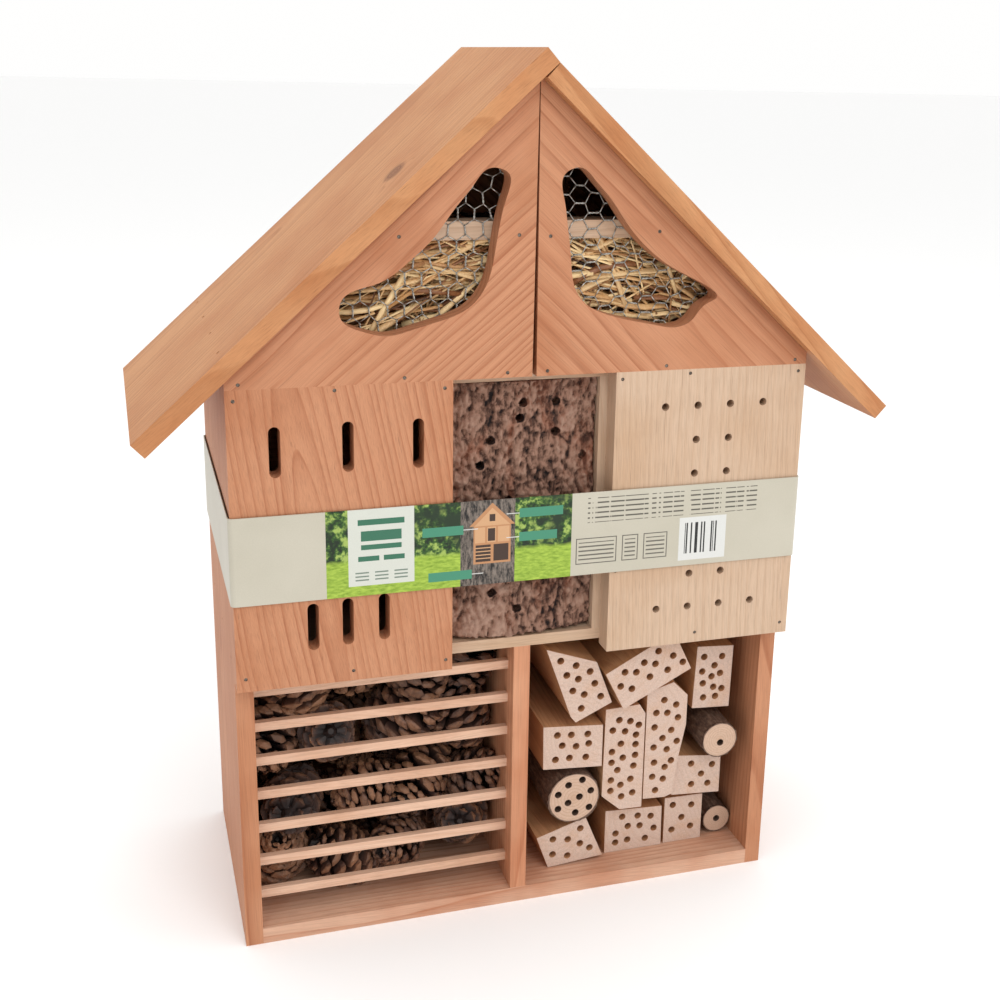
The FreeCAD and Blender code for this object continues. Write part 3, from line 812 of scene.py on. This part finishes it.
def make_log(node, seed):
    low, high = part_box(node)
    centre = (Vector(low) + Vector(high)) / 2
    radius = (high[0] - low[0]) / 2
    sides, steps = 96, 56
    rings = [0.0, 0.35, 0.7, 0.92]
    builder = Builder()

    def rim(angle, y):
        place = Vector((math.cos(angle) * 5, math.sin(angle) * 5, y * 30 + seed))
        ridges = noise.fractal(place, 0.9, 2.0, 4)
        return radius * (0.965 + 0.05 * max(min(ridges, 0.7), -1))

    for end, y in ((0, low[1]), (1, high[1])):
        for share in rings[1:]:
            for j in range(sides):
                a = 2 * math.pi * j / sides
                r = rim(a, y) * share
                builder.verts.append(Vector((centre.x + r * math.cos(a), y, centre.z + r * math.sin(a))))
        builder.verts.append(Vector((centre.x, y, centre.z)))
    block = (len(rings) - 1) * sides + 1
    for end in (0, 1):
        start = end * block
        hub = start + block - 1
        for j in range(sides):
            i = (j + 1) % sides
            fan = [(hub, start + i, start + j)]
            for k in range(len(rings) - 2):
                a, b = start + k * sides, start + (k + 1) * sides
                fan.append((a + j, a + i, b + i, b + j))
            builder.faces += fan if end == 0 else [tuple(reversed(f)) for f in fan]
    skin = len(builder.verts)
    for k in range(steps + 1):
        y = low[1] + (high[1] - low[1]) * k / steps
        for j in range(sides):
            a = 2 * math.pi * j / sides
            r = rim(a, y)
            builder.verts.append(Vector((centre.x + r * math.cos(a), y, centre.z + r * math.sin(a))))
    for k in range(steps):
        for j in range(sides):
            i = (j + 1) % sides
            a, b = skin + k * sides, skin + (k + 1) * sides
            builder.faces.append((a + i, a + j, b + j, b + i))
    for end, start in ((0, skin), (1, skin + steps * sides)):
        inner = end * block + (len(rings) - 2) * sides
        for j in range(sides):
            i = (j + 1) % sides
            quad = (inner + j, inner + i, start + i, start + j)
            builder.faces.append(quad if end == 0 else tuple(reversed(quad)))
    builder.tones = [0.5] * len(builder.verts)
    piece = builder.make("branch_" + node, log_material("branch_" + node, centre, radius))
    for polygon in piece.data.polygons:
        polygon.use_smooth = abs(polygon.normal.y) < 0.7
    drill_holes(piece, [(x * MM, z * MM) for x, z in LOG_HOLES[node]], low[1] - MM, 50 * MM, LOG_DRILL)
    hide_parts(node)


# ---- metal and card -----------------------------------------------------------------
def nail_material():
    t = Tree("nail_steel")
    p = t.coords()
    rust = t.noise(p, 900.0, 4.0, 0.6)
    colour = t.ramp(rust, [(0.35, srgb(70, 58, 50)), (0.65, srgb(128, 118, 108))])
    return t.finish(colour, 0.5, rust, 0.1 * MM, 0.5, metallic=0.7)


def card_material():
    t = Tree("printed_card")
    p = t.coords()
    x, y, z = t.split(p)
    fibre = t.noise(p, 1200.0, 3.0, 0.6)
    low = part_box("card_sleeve")[0]
    front = t.math("LESS_THAN", y, low[1] + 1.2 * MM)
    z0 = low[2]

    def patch(x0, x1, v0, v1):
        """1 inside a rectangle on the front, x across, v up from the lower edge, in mm."""
        inside = front
        for value, a, b in ((x, x0 * MM, x1 * MM), (z, z0 + v0 * MM, z0 + v1 * MM)):
            inside = t.math("MULTIPLY", inside, t.math("GREATER_THAN", value, a))
            inside = t.math("MULTIPLY", inside, t.math("LESS_THAN", value, b))
        return inside

    def row_of_bars(value, step, share):
        """Rows of bars that stand for lines of print."""
        return t.math("LESS_THAN", t.math("FRACT", t.math("MULTIPLY", value, 1 / step)), share)

    beige = t.mix(t.span(t.noise(p, 20.0, 3.0), 0.3, 0.7), srgb(180, 174, 157), srgb(188, 182, 166))
    # Garden picture: leaves above, lawn below.
    leaves = t.noise(p, 190.0, 5.0, 0.65)
    trees = t.noise(p, 34.0, 4.0, 0.6)
    foliage = t.ramp(leaves, [(0.40, srgb(14, 34, 10)), (0.50, srgb(50, 88, 26)),
                              (0.60, srgb(150, 172, 84))])
    foliage = t.mix(t.span(trees, 0.5, 0.62), foliage, srgb(24, 44, 20))
    grass = t.ramp(t.noise(t.mapping(p, scale=(1, 1, 3)), 220.0, 4.0, 0.6),
                   [(0.3, srgb(112, 142, 34)), (0.7, srgb(166, 192, 72))])
    horizon = t.math("ADD", z, t.math("MULTIPLY", t.noise(p, 60.0, 3.0), 6 * MM))
    garden = t.mix(t.span(horizon, z0 + 26 * MM, z0 + 29 * MM), grass, foliage)
    colour = t.mix(patch(-140, 28.5, -1, 61), beige, garden)
    # A tree trunk with a small plain house on it.
    bark_tone = t.ramp(t.noise(t.mapping(p, scale=(1, 1, 0.3)), 400.0, 4.0, 0.7),
                       [(0.40, srgb(22, 18, 16)), (0.60, srgb(124, 112, 102))])
    colour = t.mix(patch(-50, -12, -1, 61), colour, bark_tone)
    house, dark, wall = srgb(178, 128, 88), srgb(60, 42, 32), srgb(196, 152, 112)
    for rise, shade_of in ((0.0, house), (-3.5, wall)):
        slope = t.math("SUBTRACT", z0 + (58 + rise) * MM, t.math("ABSOLUTE", t.math("ADD", x, 28 * MM)))
        gable = t.math("MULTIPLY", patch(-45, -11, 42, 60), t.math("LESS_THAN", z, slope))
        colour = t.mix(gable, colour, shade_of)
    colour = t.mix(patch(-41, -15, 15, 42), colour, house)
    for x0, x1, v0, v1 in ((-40, -33, 30, 41), (-31.5, -25.5, 30, 41), (-24, -16, 30, 41)):
        colour = t.mix(patch(x0, x1, v0, v1), colour, wall)
    for x0, x1, v0, v1 in ((-39.5, -29, 16.5, 28.5), (-27, -16.5, 16.5, 28.5), (-30, -26, 45, 50),
                           (-31, -26, 31, 40)):
        colour = t.mix(patch(x0, x1, v0, v1), colour, dark)
    for v in (18.5, 21.0, 23.5, 26.0):
        colour = t.mix(patch(-39.5, -29, v, v + 0.7), colour, wall)
    # Plain green tags with thin leader lines.
    for x0, x1, v in ((-76, -48, 37), (-72, -42, 5), (-9, 22, 46), (-9, 18, 29)):
        colour = t.mix(patch(x0, x1, v, v + 6.5), colour, srgb(64, 132, 104))
    for x0, x1, v in ((-48, -38, 40), (-42, -34, 8), (-18, -9, 49), (-18, -9, 32)):
        colour = t.mix(patch(x0, x1, v, v + 0.6), colour, srgb(200, 200, 196))
    # White label with plain bars.
    colour = t.mix(patch(-125.5, -81.5, 7, 61), colour, srgb(198, 200, 190))
    for x0, x1, v, tall in ((-119, -88, 49, 4), (-117, -90, 38, 7), (-119, -105, 24, 3.5),
                            (-102, -88, 24, 3.5), (-117, -90, 32, 3.5)):
        colour = t.mix(patch(x0, x1, v, v + tall), colour, srgb(50, 104, 80))
    for x0 in (-121, -108, -95):
        for v in (10.5, 13, 15.5):
            colour = t.mix(patch(x0, x0 + 9, v, v + 1.0), colour, srgb(110, 124, 112))
    # Right: rows of bars, plain boxes and a striped label.
    rows = t.math("MULTIPLY", patch(40, 168, 38, 56), row_of_bars(z, 3.6 * MM, 0.30))
    words = t.math("GREATER_THAN", t.noise(t.mapping(p, scale=(1, 0, 0.02)), 420.0, 1.0), 0.42)
    colour = t.mix(t.math("MULTIPLY", rows, words), colour, srgb(84, 80, 72))
    for x0, x1 in ((32, 62), (66, 78), (82, 100)):
        frame_box = t.math("SUBTRACT", patch(x0, x1, 8, 27), patch(x0 + 0.7, x1 - 0.7, 8.7, 26.3))
        colour = t.mix(frame_box, colour, srgb(92, 88, 80))
        bars = t.math("MULTIPLY", patch(x0 + 2, x1 - 2, 11, 24), row_of_bars(z, 3.1 * MM, 0.35))
        colour = t.mix(bars, colour, srgb(96, 92, 84))
    colour = t.mix(patch(109, 145, 4, 36), colour, srgb(206, 206, 202))
    stripes = t.math("GREATER_THAN", t.noise(t.mapping(p, scale=(1, 0, 0)), 900.0, 0.0), 0.5)
    colour = t.mix(t.math("MULTIPLY", patch(113, 141, 9, 32), stripes), colour, srgb(30, 30, 30))
    shade = t.ramp(fibre, [(0.3, 0.94), (0.7, 1.03)])
    colour = t.mix(0.7, colour, shade, "MULTIPLY")
    return t.finish(colour, 0.42, fibre, 0.05 * MM, 0.3, specular=0.4)


# ---- stage --------------------------------------------------------------------------
# Name, place in metres, side in metres, power in watts.
LAMPS = (("key", (0.5, -2.4, 2.2), 1.4, 24), ("fill", (2.0, -1.2, 1.4), 1.8, 6),
         ("top", (-0.2, 0.0, 2.8), 1.8, 16))
FLOOR_SIZE = 60


def make_stage():
    bpy.ops.mesh.primitive_plane_add(size=FLOOR_SIZE, location=(0, 0, 0))
    floor = bpy.context.object
    floor.name = "floor"
    t = Tree("floor")
    t.finish((0.96, 0.96, 0.96), 0.7)
    floor.data.materials.append(t.material)
    world = bpy.data.worlds.new("studio")
    bpy.context.scene.world = world
    world.use_nodes = True
    backdrop = world.node_tree.nodes["Background"]
    backdrop.inputs["Color"].default_value = (1.0, 0.997, 0.99, 1)
    backdrop.inputs["Strength"].default_value = 1.0
    for name, place, size, power in LAMPS:
        lamp = bpy.data.lights.new(name, "AREA")
        lamp.size = size
        lamp.energy = power
        holder = bpy.data.objects.new(name, lamp)
        holder.location = place
        aim = Vector((0, 0, 0.3)) - Vector(place)
        holder.rotation_euler = aim.to_track_quat("-Z", "Y").to_euler()
        bpy.context.scene.collection.objects.link(holder)
    camera = bpy.data.cameras.new("camera")
    camera.sensor_width = 36
    camera.lens = 49.35
    camera.shift_x, camera.shift_y = -0.060, -0.045
    camera.clip_end = 100
    eye = bpy.data.objects.new("camera", camera)
    eye.location = (-0.2628, -0.9549, 0.6093)
    eye.rotation_euler = (math.radians(73.91), math.radians(-1.45), math.radians(-18.06))
    bpy.context.scene.collection.objects.link(eye)
    bpy.context.scene.camera = eye
    bpy.context.scene.view_settings.view_transform = "Standard"


finish_boards()
steel = nail_material()
for name in NODES:
    if name.startswith(("nails_", "mesh_staples")):
        paint(name, steel)
paint("card_sleeve", card_material())
make_cones()
make_straw()
wire = wire_material()
make_wire("left", True, wire, 3)
make_wire("right", False, wire, 4)
make_bark()
for seed, node in enumerate(LOG_HOLES):
    make_log(node, seed)
make_stage()
